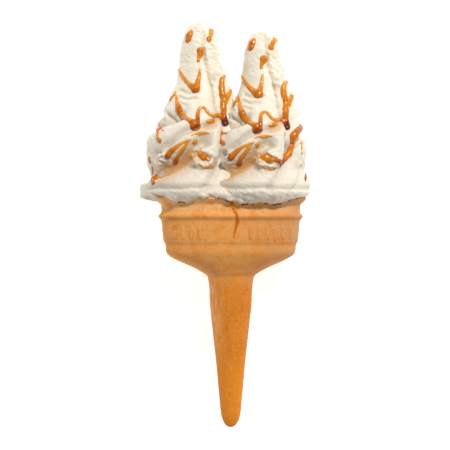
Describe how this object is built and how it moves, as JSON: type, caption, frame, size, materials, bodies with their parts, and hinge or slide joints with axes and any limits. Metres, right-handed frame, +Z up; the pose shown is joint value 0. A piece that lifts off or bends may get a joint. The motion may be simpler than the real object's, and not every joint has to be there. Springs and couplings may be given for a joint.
{
  "type": "ice cream cone",
  "caption": "Wafer cone with one wide oval cup on a tapering stem, filled with soft-serve swirls that stand side by side under thick butterscotch sauce; it lies on its back.",
  "frame": {"origin": "on the surface that the cone lies on, under the middle of its bounding box", "axes": "+Y from the tip of the stem to the peaks of the swirls, +Z up from the surface to the shown side, +X to the right of the shown side"},
  "size_m": [0.1039, 0.2464, 0.0672],
  "materials": {
    "wafer": "dry baked wafer with a fine grain, golden brown and a little more orange down the stem",
    "ice_cream": "soft satin, cream white, a little translucent",
    "butterscotch_sauce": "glossy amber brown syrup, darker where it has pooled"
  },
  "bodies": {
    "root": {"wafer_cone": "wafer", "soft_serve_left": "ice_cream", "soft_serve_right": "ice_cream"}
  },
  "joints": []
}
